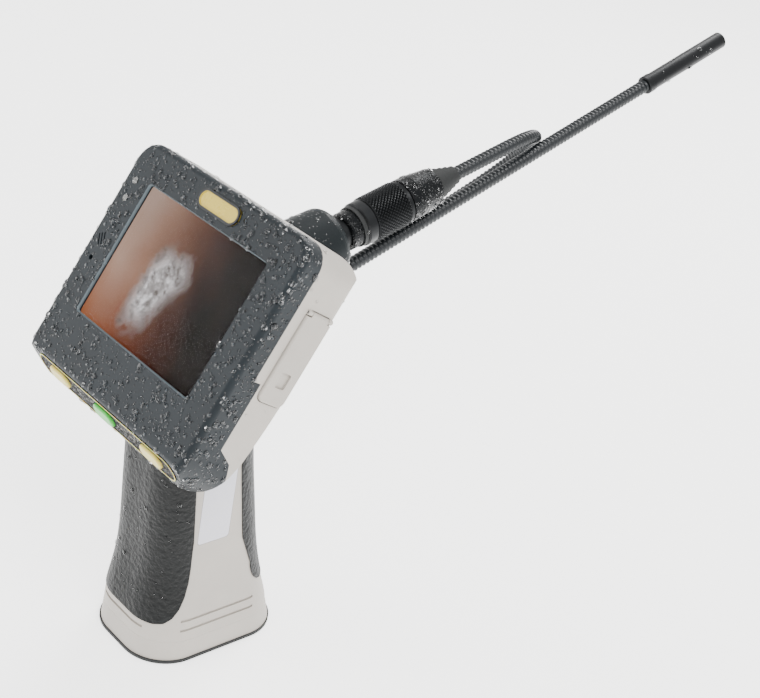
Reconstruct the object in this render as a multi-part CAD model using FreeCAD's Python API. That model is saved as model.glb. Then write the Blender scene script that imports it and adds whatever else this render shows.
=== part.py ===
import FreeCAD, Part
import math
import os

# Hand-held inspection camera: a screen unit leaning back on a pistol handle, and a gooseneck probe
# that screws onto its nose. Millimetres, +Z up. The origin is the centre of the underside of the base.
# +Y is forward, the way the nose points, and the screen faces back and up, so +X is the user's right.

V = FreeCAD.Vector

# ---------------------------------------------------------------- driving dimensions
# Clearances
seat_gap = 0.15            # between a fixed piece and the pocket that it sits in
slide_gap = 0.3            # round a part that moves in an opening
thread_gap = 0.08          # radial, between the threads and in the nut's bearing
skin_gap = 0.05            # keeps flat faces of different bodies just apart

reach = 200.0              # longer than anything that it cuts through

# Screen unit. Its own frame has x to the right, y up the screen and z out of the glass.
screen_tilt = 30.0         # lean back from upright, degrees
glass_height = 155.4       # centre of the glass above the base
glass_back = 26.5          # centre of the glass behind the base's centre
picture_width = 70.1       # 3.5 inch 4:3 picture
picture_height = 52.6
unit_half_width = 50.5
unit_top = 41.6            # above the centre of the glass
unit_bottom = 57.0         # lowest edge of the chin
face_bottom = 47.8         # where the flat face turns into the keypad facet
facet_bottom = 55.0        # lower edge of the keypad facet
facet_depth = 9.0          # that edge, behind the glass
face_rise = 2.0            # front face above the glass
rear_depth = 28.0          # rear face behind the glass
seam_step = 2.0            # the rear face is that much lower under the seam
heel_depth = 23.5          # and here it turns towards the chin
chin_depth = 18.0
seam_y = -16.0             # seam across the rear housing
heel_y = -38.0
top_corner = 9.0
bottom_corner = 14.0
rear_top_round = 8.0
edge_round = 2.4
rear_edge_round = 4.0
unit_wall = 2.2
split_depth = 7.0          # joint between the housings, behind the glass
split_step_y = -9.5        # below this height the joint lies further back
lower_split_depth = 10.5
wrap_y = -36.0             # and here the front housing wraps back under the rear one
wrap_points = [(-40.0, -18.0), (-46.0, -21.0), (-64.0, -31.0)]

# Glass, picture panel and boards
window_margin = 1.0        # opening beyond the picture, each side
window_corner = 1.5
window_lap = 2.5           # glass beyond the opening
window_thickness = 1.0
panel_thickness = 3.0
panel_border = 3.4
panel_drop = 1.2           # the panel's wider border is at its lower edge
frame_wall = 2.4
frame_floor = 1.0
frame_lip = 3.0
frame_corner = 1.5
board_depth = 12.0
board_margin = 6.3         # to the housing's inside, at each side
board_top = 33.0
board_bottom = -34.0
board_thickness = 1.6
chip_height = 1.4
chips = [(0.0, 22.0, 8.0, 8.0), (20.0, 23.0, 6.0, 5.0), (-28.0, 12.0, 6.0, 8.0), (-32.0, -9.0, 4.0, 3.0)]

# Keypad on the chin facet
keypad_end_margin = 5.5    # from the keypad's ends to the unit's sides
keypad_half_height = 5.6
keypad_sill = 1.2          # width of the housing's seat under the trim
keypad_trim_width = 0.9
keypad_trim_rise = 0.3
keypad_recess = 0.1        # the keypad's field below its border
button_spacing = 30.5
button_half_length = 6.4
button_half_height = 3.4
button_rise = 1.3
button_skirt = 2.0         # depth of a button's cap below the facet
button_round = 0.9
button_travel = 0.8
button_stem = 5.0
button_stem_radius = 1.6
switch_height = 1.6
switch_radius = 2.2
keypad_board_inset = 5.0
keypad_board_half_height = 4.6
keypad_board_thickness = 1.0

# Badge, lamps and slots on the face
badge_half_width = 11.5
badge_half_height = 3.7
badge_x = 2.2
badge_y = 34.0
badge_rise = 0.8
badge_sunk = 0.6
badge_rim = 1.0
badge_rim_height = 0.3
lamp_margin = 6.7          # from the lamps to the unit's left side
lamp_heights = (25.0, 17.6)
lamp_radius = 1.3
lamp_rise = 0.2
slot_pitch = 1.4
slot_length = 4.6
slot_width = 0.6
slot_turn = 122.0          # degrees
hole_y = -8.1              # small round hole under the slots
hole_radius = 1.0

# Port cover in the right side of the rear housing
cover_top = 21.0
cover_bottom = -15.0
cover_front = -12.0
cover_rear = -25.4
cover_thickness = 2.0
cover_rise = 1.1
cover_corner = 3.0
knuckle_radius = 0.95      # round the hinge pin at the cover's top edge
lug_width = 2.0            # housing lugs that hold the pin, one each side of the knuckle
hinge_pin_radius = 0.5
notch_y = -5.4
notch_z = -18.6
notch_half_height = 3.0
notch_half_width = 2.4
notch_depth = 0.9
notch_corner = 0.8
cover_edge_round = 0.7
port_top = 15.0
port_bottom = -11.5
port_half_depth = 4.6
port_z = -17.5
port_corner = 1.0
socket_inset = 1.0         # from the floor of the cover's pocket to the sockets' mouths
socket_depth = 13.0
card_socket_depth = 19.5
usb_socket_depth = 9.1
socket_half_height = 2.6
card_socket_half_height = 1.6
socket_wall = 0.7
card_socket_wall = 1.0
card_slot_half_height = 0.6
card_span = (-10.5, 3.5)
usb_span = (5.0, 9.0)
jack_span = (9.6, 14.6)
jack_bore = 1.25

# Nose, on an axis that rises forward from the rear face. Stations are measured along it.
nose_rise = 17.0           # degrees above level
nose_y = 10.8              # where the axis leaves the rear face, in the unit's frame
boss_radius_rear = 16.2
boss_radius_front = 13.8
boss_length = 46.0
boss_shoulder = 5.0
shoulder_steps = 8
boss_wall = 2.6
barrel_radius = 6.25
barrel_bore = 4.7
barrel_inside = 16.0       # length of the barrel inside the boss
barrel_bare = 4.5          # between the boss and the locking collar
barrel_nut_radius = 8.4
barrel_nut_length = 3.5
collar_radius = 7.7
collar_length = 5.1
collar_chamfer = 0.6
seal_thickness = 1.8
seal_radius = 8.3
insert_inside = 12.0       # length of the pin insert inside the boss
insert_outside = 2.0       # and beyond it
pin_radius = 0.5
pin_ring = 2.6
pin_count = 6
pin_overlap = 4.1          # of the pins into the plug
pin_hole_depth = 6.6

# Coupling nut and plug
nut_gap = 0.2              # axial, from the seal ring to the nut and beside the plug's flange
nut_length = 23.4
nut_radius = 9.4
nut_band_radius = 8.9
nut_band_length = 4.6
nut_front_band = 1.6
nut_thread_length = 9.4
plug_neck_radius = 5.2
plug_flange_radius = 5.9
plug_flange_length = 2.6
plug_length = 17.0
plug_band_length = 5.0
plug_chamfer = 1.0
plug_radius_rear = 9.0
plug_radius_front = 7.6
plug_wall_gap = 0.9        # round the gooseneck, inside the plug
plug_insert_reach = 10.6   # of the plug's insert into the barrel
plug_insert_behind = 3.0   # and behind the plug's flange
relief_length = 11.0
relief_radius = 6.2
relief_lip = 0.9           # rubber round the gooseneck at the relief's front
relief_steps = 4

# Gooseneck: leaves the nose, turns back in a loop to the left and runs forward under the nut
gooseneck_radius = 3.0
gooseneck_inside = 6.0     # length held in the plug
root_length = 27.0         # straight, before the first turn
first_turn_corner = 32.0   # from the end of that straight to the corner of the first turn
turn_radii = (31.5, 30.0, 27.0, 27.0)
loop_side = -41.4          # how far the return leg lies to the left
loop_drop = 44.4           # first turn
loop_forward = 13.7
rear_turn_drop = 35.2      # second turn
rear_turn_forward = 13.6
run_rise = 21.0            # degrees above level, the last leg
rear_turn_station = 29.1   # the last leg starts under that station of the nose axis
rear_turn_below = 19.8
bend_start = 66.0          # stations on the last leg, from that corner
bend_end = 126.0
tip_start = 161.0
head_start = 201.0
head_length = 51.0
head_radius = 3.8
head_wall = 0.6
head_collar_length = 4.0
head_collar_radius = 4.1
head_chamfer = 0.4
head_pocket = 14.0         # depth of the bore in the camera head
lens_inset = 0.4           # window behind the head's rim
lens_radius = 1.6
lens_thickness = 0.8
lens_barrel = 4.0
module_length = 9.0
module_radius = 2.1
tip_lamp_length = 2.0
lamp_ring_radius = 2.55
tip_lamp_radius = 0.5
tip_lamp_count = 6

# Handle, from the battery door's joint up into the screen unit
door_joint = 10.0          # height of that joint
neck_below_glass = 22.4    # the top section, below the centre of the glass
grip_half_width = 20.5
# Sections: share of the height between those two, rear face, front face, half width, corner radius
handle_sections = [
    (0.0, -32.8, 30.6, 24.0, 17.5),
    (0.05, -32.6, 28.9, 23.4, 17.0),
    (0.12, -31.5, 26.0, 22.5, 16.5),
    (0.20, -30.4, 23.3, 21.5, 16.0),
    (0.31, -29.9, 20.2, 20.7, 15.0),
    (0.45, -30.4, 16.8, grip_half_width, 14.5),
    (0.57, -31.0, 14.0, grip_half_width, 14.5),
    (0.69, -31.3, 11.2, grip_half_width, 14.0),
    (0.80, -31.0, 7.0, 20.3, 13.5),
    (0.89, -30.0, 0.0, 20.0, 12.5),
    (1.0, -28.0, -11.0, 19.5, 8.0),
]
handle_wall = 2.8
grip_depth = 1.4
grip_proud = 0.5
palm_edge = [(-20.5, glass_height), (-19.5, 80.0), (-17.5, 56.0), (-17.5, 43.0)]
palm_bottom = 18.0
palm_sweep = 12.0
finger_edge = [(-1.5, glass_height), (1.0, 84.0), (6.5, 50.0), (12.5, 36.0)]
finger_bottom = 25.0
finger_sweep = 9.0
corner_steps = 6
lower_groove = 14.4
upper_groove = 18.8        # at the sides and front only
groove_width = 1.1
groove_depth = 0.7
groove_side = (-20.0, 15.0)
groove_end_half = 13.0
label_box = (-15.4, -0.8, 53.0, 90.0)
label_thickness = 0.5
label_corner = 1.5

# Base, battery door and batteries
pad_thickness = 1.6
pad_proud = 0.5
pad_round = 0.5
base_section = (-33.5, 33.2, 24.4, 18.0)
door_floor = 2.4
door_spigot = 4.0
spigot_wall = 2.7
cell_radius = 7.2
cell_length = 50.0
cell_gap = 0.4
cell_centre_y = -4.0
cell_nub = 0.8
cell_nub_radius = 2.6
contact_thickness = 0.5
contact_gap = 0.3
contact_half_width = 4.0
door_contact_overhang = 3.6
carrier_thickness = 3.0
carrier_corner = 6.0
carrier_margin_x = 0.9     # beyond the cells, at each side
carrier_margin_y = 2.4

# Screws
screw_radius = 1.4
screw_head_radius = 2.7
screw_head_depth = 1.6
screw_head_sunk = 0.4      # head below the surface
screw_slot_half_length = 2.0
screw_slot_half_width = 0.4
screw_slot_depth = 0.6
screw_grip = 5.0           # length of thread in the front housing
handle_screw_length = 15.0
screw_post_radius = 3.2
screw_margin = 8.5         # from the screws to the unit's sides
screw_top_y = 31.5
screw_bottom_y = -31.0
handle_screws = [(-6.0, 96.0), (-8.0, 68.0)]

# Places that follow from the sizes above
lower_rear_depth = rear_depth - seam_step
keypad_half_length = unit_half_width - keypad_end_margin
lamp_x = lamp_margin - unit_half_width
screw_x = unit_half_width - screw_margin
unit_screws = [(x, y) for y in (screw_top_y, screw_bottom_y) for x in (screw_x, -screw_x)]
cover_floor = unit_half_width - cover_thickness + cover_rise
hinge_x = cover_floor + skin_gap + knuckle_radius
hinge_y = cover_top - knuckle_radius
window_top = face_rise - unit_wall - skin_gap
panel_top = window_top - window_thickness - skin_gap
collar_start = boss_length + barrel_bare
collar_end = collar_start + collar_length
nut_start = collar_end + seal_thickness + nut_gap
nut_end = nut_start + nut_length
nut_thread_end = nut_start + nut_thread_length
plug_flange_end = nut_thread_end - nut_gap
plug_flange_start = plug_flange_end - plug_flange_length
barrel_end = plug_flange_start - nut_gap
plug_insert_start = barrel_end - plug_insert_reach
plug_end = nut_end + plug_length
plug_bore = gooseneck_radius + plug_wall_gap
relief_end = plug_end + relief_length
relief_radius_front = gooseneck_radius + relief_lip
neck_height = glass_height - neck_below_glass
cell_pitch = 2 * cell_radius + cell_gap
cell_xs = (-cell_pitch / 2, cell_pitch / 2)
cell_ys = (cell_centre_y - cell_pitch / 2, cell_centre_y + cell_pitch / 2)


# ---------------------------------------------------------------- frames and helpers
nodes = {}


def keep(name, shape):
    """Record a finished sub-part under its node name."""
    if not shape.isValid() or not shape.Solids:
        raise ValueError(name + " is not a valid solid")
    nodes[name] = shape if len(shape.Solids) > 1 else shape.Solids[0]


def moved(shape, rotation, offset):
    """A copy of shape, turned about the origin and then shifted."""
    out = shape.copy()
    out.transformShape(FreeCAD.Placement(offset, rotation).toMatrix())
    return out


unit_rotation = FreeCAD.Rotation(V(1, 0, 0), 90.0 - screen_tilt)
unit_offset = V(0, -glass_back, glass_height)


def in_unit(shape):
    """From the screen unit's frame to the part's frame."""
    return moved(shape, unit_rotation, unit_offset)


def unit_point(x, y, z):
    return unit_rotation.multVec(V(x, y, z)) + unit_offset


nose_rotation = FreeCAD.Rotation(V(1, 0, 0), nose_rise - 90.0)
nose_origin = unit_point(0, nose_y, -rear_depth)
nose_direction = nose_rotation.multVec(V(0, 0, 1))


def in_nose(shape):
    """From a frame whose z runs along the nose axis to the part's frame."""
    return moved(shape, nose_rotation, nose_origin)


def nose_point(station):
    return nose_origin + nose_direction * station


def loop_face(points):
    return Part.Face(Part.makePolygon(points + [points[0]]))


def rounded_rect(x0, x1, y0, y1, corners, z=0.0):
    """A flat face with its own radius at each corner, from the upper right one round to the left."""
    r1, r2, r3, r4 = corners
    centres = [(x1 - r1, y1 - r1, r1, 0), (x0 + r2, y1 - r2, r2, 90),
               (x0 + r3, y0 + r3, r3, 180), (x1 - r4, y0 + r4, r4, 270)]
    arcs = []
    for cx, cy, r, start in centres:
        arcs.append([V(cx + r * math.cos(math.radians(start + step)),
                       cy + r * math.sin(math.radians(start + step)), z) for step in (0, 45, 90)])
    edges = []
    for i, arc in enumerate(arcs):
        edges.append(Part.Arc(*arc).toShape())
        following = arcs[(i + 1) % 4][0]
        if arc[2].distanceToPoint(following) > 1e-6:
            edges.append(Part.makeLine(arc[2], following))
    return Part.Face(Part.Wire(edges))


def block(x0, x1, y0, y1, z0, z1, corner=0.0):
    if corner <= 0.0:
        return Part.makeBox(x1 - x0, y1 - y0, z1 - z0, V(x0, y0, z0))
    return rounded_rect(x0, x1, y0, y1, (corner,) * 4, z0).extrude(V(0, 0, z1 - z0))


def disc(radius, z0, z1, x=0.0, y=0.0):
    return Part.makeCylinder(radius, z1 - z0, V(x, y, z0))


def turned(profile):
    """A solid of revolution about z from (radius, z) points."""
    face = loop_face([V(r, 0, z) for r, z in profile])
    return face.revolve(V(0, 0, 0), V(0, 0, 1), 360)


def ring_points(radius, count):
    step = 2 * math.pi / count
    return [(radius * math.cos(step * i), radius * math.sin(step * i)) for i in range(count)]


def group(shapes):
    return Part.makeCompound(shapes)


def crossed(shape, x, y, z):
    """Shape with a cross slot for a driver, sunk from height z at (x, y)."""
    long, narrow = screw_slot_half_length, screw_slot_half_width
    shape = shape.cut(block(x - long, x + long, y - narrow, y + narrow, z - screw_slot_depth, z + 1))
    return shape.cut(block(x - narrow, x + narrow, y - long, y + long, z - screw_slot_depth, z + 1))


# ---------------------------------------------------------------- screen unit's shell
def profile_face(inset=0.0):
    """Side view of the unit, in its y and z, as a face at x = 0."""
    top = unit_top
    corners = [(top, face_rise), (-face_bottom, face_rise), (-facet_bottom, -facet_depth),
               (-unit_bottom, -chin_depth), (heel_y, -heel_depth), (seam_y, -lower_rear_depth),
               (seam_y + 2.0, -rear_depth), (top - rear_top_round, -rear_depth)]
    points = [V(0, y, z) for y, z in corners]
    end = V(0, top, rear_top_round - rear_depth)
    lean = rear_top_round * (1.0 - math.sqrt(0.5))
    middle = V(0, top - lean, lean - rear_depth)
    edges = [Part.makeLine(a, b) for a, b in zip(points, points[1:])]
    edges += [Part.Arc(points[-1], middle, end).toShape(), Part.makeLine(end, points[0])]
    wire = Part.Wire(edges)
    if inset:
        wire = wire.makeOffset2D(-inset, 2)
    return Part.Face(wire)


def unit_solid(inset=0.0):
    """The unit's outer shape, or the space inside a wall of that thickness."""
    half = unit_half_width - inset
    profile = profile_face(inset)
    side = profile.extrude(V(2 * half, 0, 0))
    side.translate(V(-half, 0, 0))
    outline = rounded_rect(-half, half, inset - unit_bottom, unit_top - inset,
                           (top_corner - inset, top_corner - inset,
                            bottom_corner - inset, bottom_corner - inset), -rear_depth)
    plan = outline.extrude(V(0, 0, rear_depth + face_rise))
    return side.common(plan)


def edges_on(shape, z):
    return [e for e in shape.Edges if all(abs(v.Point.z - z) < 1e-4 for v in e.Vertexes)]


def rounded_unit():
    """The outer shape, with soft edges round the face and along the sides of the rear."""
    shape = unit_solid()
    shape = shape.makeFillet(edge_round, edges_on(shape, face_rise))
    section = rounded_rect(-unit_half_width, unit_half_width, -rear_depth, 2 * rear_depth,
                           (edge_round, edge_round, rear_edge_round, rear_edge_round))
    slab = section.extrude(V(0, 0, reach))
    slab = moved(slab, FreeCAD.Rotation(V(1, 0, 0), V(0, 0, 1), V(0, -1, 0)), V(0, reach / 2, 0))
    return shape.common(slab)


def front_zone():
    """Everything in front of the joint between the housings."""
    far = reach
    points = [(far, far), (-far, far), (-far, wrap_points[-1][1])] + wrap_points[::-1]
    points += [(wrap_y, -lower_split_depth), (split_step_y, -lower_split_depth),
               (split_step_y, -split_depth), (far, -split_depth)]
    face = loop_face([V(-far, y, z) for y, z in points])
    return face.extrude(V(2 * far, 0, 0))


def facet_frame():
    """Centre, up-slope direction and outward normal of the keypad facet, in the unit's frame."""
    upper = V(0, -face_bottom, face_rise)
    lower = V(0, -facet_bottom, -facet_depth)
    up = (upper - lower).normalize()
    return (upper + lower) * 0.5, up, V(1, 0, 0).cross(up)


def on_facet(shape):
    """From a frame with x along the keypad and z out of it to the unit's frame."""
    centre, up, normal = facet_frame()
    turn = FreeCAD.Rotation(V(1, 0, 0), up, normal)
    return moved(shape, turn, centre)


def oval(half_length, half_height, z0, z1, x=0.0):
    """A lozenge with round ends."""
    return block(x - half_length, x + half_length, -half_height, half_height, z0, z1,
                 half_height - 0.01)


def picture_opening(grow, z0, z1, corner):
    half_w = picture_width / 2 + grow
    half_h = picture_height / 2 + grow
    return block(-half_w, half_w, -half_h, half_h, z0, z1, corner)


def screw_post(x, y, z0, z1):
    return disc(screw_post_radius, z0, z1, x, y).cut(disc(screw_radius + skin_gap, z0, z1, x, y))


def post_front(y):
    """Where the joint between the housings lies at height y."""
    return -split_depth if y > split_step_y else -lower_split_depth


def post_rear(y):
    return -rear_depth if y > seam_y else -lower_rear_depth


def hinge_rod(radius, z0, z1):
    """A round bar on the axis of the port cover's hinge."""
    return disc(radius, z0, z1, hinge_x, hinge_y)


def on_side(shape, x):
    """From a flat frame of unit y and z to the unit's right side, with its thickness along +x."""
    turn = FreeCAD.Rotation(V(0, 1, 0), V(0, 0, 1), V(1, 0, 0))
    return moved(shape, turn, V(x, 0, 0))


# ---------------------------------------------------------------- handle
def section_wire(height, rear, front, half, corner, grow=0.0):
    face = rounded_rect(-half - grow, half + grow, rear - grow, front + grow,
                        (corner + grow,) * 4, height)
    return face.OuterWire


def handle_loft(grow=0.0):
    wires = []
    for share, rear, front, half, corner in handle_sections:
        height = door_joint + share * (neck_height - door_joint)
        wires.append(section_wire(height, rear, front, half, corner, grow))
    return Part.makeLoft(wires, True, False)


def side_zone(points):
    """A slab across the handle whose side view has these (y, z) points."""
    face = loop_face([V(-reach, y, z) for y, z in points])
    return face.extrude(V(2 * reach, 0, 0))


def swept_corner(start, end):
    """Points of a quarter oval from start, which it leaves downwards, to end."""
    points = []
    for i in range(1, corner_steps + 1):
        a = math.pi / 2 * i / corner_steps
        points.append((start[0] + (end[0] - start[0]) * (1 - math.cos(a)),
                       start[1] + (end[1] - start[1]) * math.sin(a)))
    return points


def palm_zone():
    low = palm_edge[-1]
    outline = palm_edge + swept_corner(low, (low[0] - palm_sweep, palm_bottom))
    return side_zone(outline + [(-reach, palm_bottom), (-reach, glass_height)])


def finger_zone():
    low = finger_edge[-1]
    outline = finger_edge + swept_corner(low, (low[0] + finger_sweep, finger_bottom))
    return side_zone(outline + [(reach, finger_bottom), (reach, glass_height)])


def grooves():
    """Shallow slots round the foot of the handle, with gaps at its corners."""
    around = handle_loft(grip_proud).cut(handle_loft(-groove_depth))
    cuts = []
    for height, rear in ((lower_groove, -reach), (upper_groove, 0.0)):
        top = height + groove_width
        cuts.append(block(-reach, reach, groove_side[0], groove_side[1], height, top))
        cuts.append(block(-groove_end_half, groove_end_half, rear, reach, height, top))
    return [around.common(c) for c in cuts]


def label_slab(gap, depth):
    """The label's outline on the right side of the handle, that deep from its surface inwards."""
    y0, y1, z0, z1 = label_box
    face = rounded_rect(y0 - gap, y1 + gap, z0 - gap, z1 + gap, (label_corner,) * 4)
    slab = face.extrude(V(0, 0, depth))
    turn = FreeCAD.Rotation(V(0, 1, 0), V(0, 0, 1), V(1, 0, 0))
    return moved(slab, turn, V(grip_half_width - label_thickness, 0, 0))


# ---------------------------------------------------------------- make: screen unit
def to_unit(shape):
    """From the part's frame to the screen unit's frame."""
    back = unit_rotation.inverted()
    return moved(shape, back, back.multVec(unit_offset * -1))


envelope = rounded_unit()
cavity = unit_solid(unit_wall)
front_space = front_zone()
handle_bore = to_unit(handle_loft(-handle_wall))
boss_bore = to_unit(in_nose(disc(boss_radius_front - boss_wall - 1.0, -rear_depth, boss_length / 2)))


def build_front_housing():
    shell = envelope.cut(cavity).common(front_space)
    shell = shell.cut(picture_opening(window_margin, -reach, reach, window_corner))
    shell = shell.cut(on_facet(oval(keypad_half_length - keypad_sill, keypad_half_height - keypad_sill,
                                    -unit_wall - 2, 2)))
    shell = shell.cut(on_facet(oval(keypad_half_length, keypad_half_height, -keypad_trim_width, 3)))
    badge_hole = oval(badge_half_width + seat_gap, badge_half_height + seat_gap,
                      face_rise - badge_sunk, reach)
    badge_hole.translate(V(badge_x, badge_y, 0))
    shell = shell.cut(badge_hole)
    for height in lamp_heights:
        shell = shell.cut(disc(lamp_radius + skin_gap, -split_depth, reach, lamp_x, height))
    for i in (-1, 0, 1):
        slot = block(-slot_length / 2, slot_length / 2, -slot_width / 2, slot_width / 2,
                     -split_depth, reach)
        turn = FreeCAD.Rotation(V(0, 0, 1), slot_turn)
        place = V(lamp_x, 0, 0) - turn.multVec(V(0, i * slot_pitch, 0))
        shell = shell.cut(moved(slot, turn, place))
    shell = shell.cut(disc(hole_radius, -split_depth, reach, lamp_x, hole_y))
    for x, y in unit_screws:
        shell = shell.fuse(screw_post(x, y, post_front(y), face_rise - unit_wall))
    shell = shell.cut(handle_bore)
    keep("front_housing", in_unit(shell.removeSplitter()))


def build_rear_housing():
    shell = envelope.cut(cavity).cut(front_space)
    for x, y in unit_screws:
        rear = post_rear(y)
        post = disc(screw_post_radius, rear, post_front(y) - skin_gap, x, y)
        shell = shell.fuse(post.common(envelope))
        shell = shell.cut(disc(screw_radius + skin_gap, -reach, 0, x, y))
        shell = shell.cut(disc(screw_head_radius + seat_gap, -reach, rear + screw_head_depth, x, y))
    shell = shell.cut(handle_bore).cut(boss_bore)
    pocket = block(cover_bottom - slide_gap, cover_top + slide_gap, cover_rear - slide_gap,
                   cover_front + slide_gap, 0, reach, cover_corner)
    shell = shell.cut(on_side(pocket, cover_floor))
    ports = block(port_bottom, port_top, port_z - port_half_depth, port_z + port_half_depth,
                  -2 * unit_wall, reach, port_corner)
    shell = shell.cut(on_side(ports, cover_floor)).fuse(cover_lugs())
    shell = shell.cut(hinge_rod(hinge_pin_radius + skin_gap, cover_rear, cover_front))
    keep("rear_housing", in_unit(shell.removeSplitter()))


def build_screen():
    glass = picture_opening(window_margin + window_lap, window_top - window_thickness, window_top, 2.0)
    keep("screen_window", in_unit(glass))
    half_w = picture_width / 2 + panel_border
    half_h = picture_height / 2 + panel_border
    y0, y1 = -half_h - panel_drop, half_h - panel_drop
    panel_bottom = panel_top - panel_thickness
    keep("picture_panel", in_unit(block(-half_w, half_w, y0, y1, panel_bottom, panel_top)))
    frame_bottom = panel_bottom - frame_floor
    frame = block(-half_w - frame_wall, half_w + frame_wall, y0 - frame_wall, y1 + frame_wall,
                  frame_bottom, panel_top, frame_corner)
    frame = frame.cut(block(-half_w - seat_gap, half_w + seat_gap, y0 - seat_gap, y1 + seat_gap,
                            panel_bottom - skin_gap, reach))
    frame = frame.cut(block(-half_w + frame_lip, half_w - frame_lip, y0 + frame_lip, y1 - frame_lip,
                            -reach, panel_top))
    for x, y in unit_screws:
        frame = frame.cut(disc(screw_post_radius + seat_gap, -reach, reach, x, y))
    keep("panel_frame", in_unit(frame))


def build_face_details():
    badge = oval(badge_half_width, badge_half_height, face_rise - badge_sunk + skin_gap,
                 face_rise + badge_rise)
    rim = oval(badge_half_width - badge_rim, badge_half_height - badge_rim,
               face_rise + badge_rise - badge_rim_height, reach)
    badge = badge.cut(rim)
    badge.translate(V(badge_x, badge_y, 0))
    keep("badge", in_unit(badge))
    lamps = [disc(lamp_radius, 0.0, face_rise + lamp_rise, lamp_x, h) for h in lamp_heights]
    keep("status_lamps", in_unit(group(lamps)))


def build_keypad():
    trim = oval(keypad_half_length - seat_gap, keypad_half_height - seat_gap, -keypad_trim_width,
                keypad_trim_rise)
    floor = oval(keypad_half_length - keypad_sill, keypad_half_height - keypad_sill,
                 keypad_trim_rise - keypad_recess, reach)
    trim = trim.cut(floor)
    for i in (-1, 0, 1):
        hole = oval(button_half_length + slide_gap, button_half_height + slide_gap, -reach, reach,
                    i * button_spacing)
        trim = trim.cut(hole)
    keep("keypad_trim", in_unit(on_facet(trim)))
    board_face = -button_stem - switch_height
    half = keypad_half_length - keypad_board_inset
    board = block(-half, half, -keypad_board_half_height, keypad_board_half_height,
                  board_face - keypad_board_thickness, board_face)
    keep("keypad_board", in_unit(on_facet(board)))
    switches = [disc(switch_radius, board_face, -button_stem - button_travel - skin_gap,
                     i * button_spacing) for i in (-1, 0, 1)]
    keep("keypad_switches", in_unit(on_facet(group(switches))))
    for i, name in ((-1, "button_left"), (0, "button_centre"), (1, "button_right")):
        x = i * button_spacing
        cap = oval(button_half_length, button_half_height, -button_skirt, button_rise, x)
        cap = cap.makeFillet(button_round, edges_on(cap, button_rise))
        stem = disc(button_stem_radius, -button_stem, -button_skirt, x)
        keep(name, in_unit(on_facet(cap.fuse(stem).removeSplitter())))


def build_boards():
    half = unit_half_width - unit_wall - board_margin
    rear = -board_depth - board_thickness
    board = block(-half, half, board_bottom, board_top, rear, -board_depth)
    for x, y in unit_screws:
        board = board.cut(disc(screw_post_radius + 1.0, -reach, 0, x, y))
    board = board.cut(handle_bore)
    keep("main_board", in_unit(board))
    bodies = [block(x - w, x + w, y - h, y + h, rear - chip_height, rear) for x, y, w, h in chips]
    keep("board_chips", in_unit(group(bodies)))


def socket_shell(span, z_half, length, wall, mouth):
    """A socket along x with a rectangular mouth, its span in y."""
    x1 = cover_floor - unit_wall - socket_inset
    y0, y1 = span
    body = block(x1 - length, x1, y0, y1, port_z - z_half, port_z + z_half)
    return body.cut(block(x1 - length + 2 * wall, x1 + 1, y0 + wall, y1 - wall,
                          port_z - mouth, port_z + mouth))


def build_sockets():
    card = socket_shell(card_span, card_socket_half_height, card_socket_depth, card_socket_wall,
                        card_slot_half_height)
    keep("card_socket", in_unit(card))
    usb = socket_shell(usb_span, socket_half_height, usb_socket_depth, socket_wall,
                       socket_half_height - socket_wall)
    keep("usb_socket", in_unit(usb))
    x1 = cover_floor - unit_wall - socket_inset
    jack = block(x1 - socket_depth, x1, jack_span[0], jack_span[1], port_z - socket_half_height,
                 port_z + socket_half_height)
    middle = (jack_span[0] + jack_span[1]) / 2
    bore = Part.makeCylinder(jack_bore, socket_depth, V(x1 - socket_depth + 2, middle, port_z),
                             V(1, 0, 0))
    keep("video_jack", in_unit(jack.cut(bore)))


def cover_lugs():
    lugs = []
    for z0, z1 in ((cover_rear, cover_rear + lug_width), (cover_front - lug_width, cover_front)):
        foot = block(cover_floor - unit_wall / 2, hinge_x, hinge_y - knuckle_radius,
                     hinge_y + knuckle_radius, z0, z1)
        lugs.append(foot.fuse(hinge_rod(knuckle_radius, z0, z1)))
    return lugs


def build_port_cover():
    thickness = cover_thickness - skin_gap
    flap = block(cover_bottom, cover_top, cover_rear, cover_front, 0, thickness, cover_corner)
    flap = flap.makeFillet(cover_edge_round, edges_on(flap, thickness))
    flap = on_side(flap, cover_floor + skin_gap)
    room = lug_width + slide_gap
    z0, z1 = cover_rear + room, cover_front - room
    top = block(0, reach, hinge_y - knuckle_radius - slide_gap, reach, -reach, reach)
    above = block(0, reach, hinge_y, reach, -reach, reach)
    tongue = flap.common(block(0, reach, 0, reach, z0, z1)).cut(above)
    flap = flap.cut(top).fuse(tongue).fuse(hinge_rod(knuckle_radius - skin_gap, z0, z1))
    notch = block(notch_y - notch_half_height, notch_y + notch_half_height,
                  notch_z - notch_half_width, notch_z + notch_half_width, 0, reach,
                  notch_corner)
    flap = flap.cut(on_side(notch, cover_floor + cover_thickness - notch_depth))
    flap = flap.cut(hinge_rod(hinge_pin_radius + thread_gap, -reach, reach)).removeSplitter()
    keep("port_cover", in_unit(flap))
    keep("cover_pin", in_unit(hinge_rod(hinge_pin_radius, cover_rear + slide_gap,
                                        cover_front - slide_gap)))


def build_unit_screws():
    screws = []
    for x, y in unit_screws:
        rear = post_rear(y)
        shank = disc(screw_radius, rear + screw_head_depth, post_front(y) + screw_grip, x, y)
        head = disc(screw_head_radius, -rear - screw_head_depth, -rear - screw_head_sunk, x, y)
        head = crossed(head, x, y, -rear - screw_head_sunk)
        head = head.mirror(V(0, 0, 0), V(0, 0, 1))
        screws.append(shank.fuse(head).removeSplitter())
    keep("unit_screws", in_unit(group(screws)))


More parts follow.
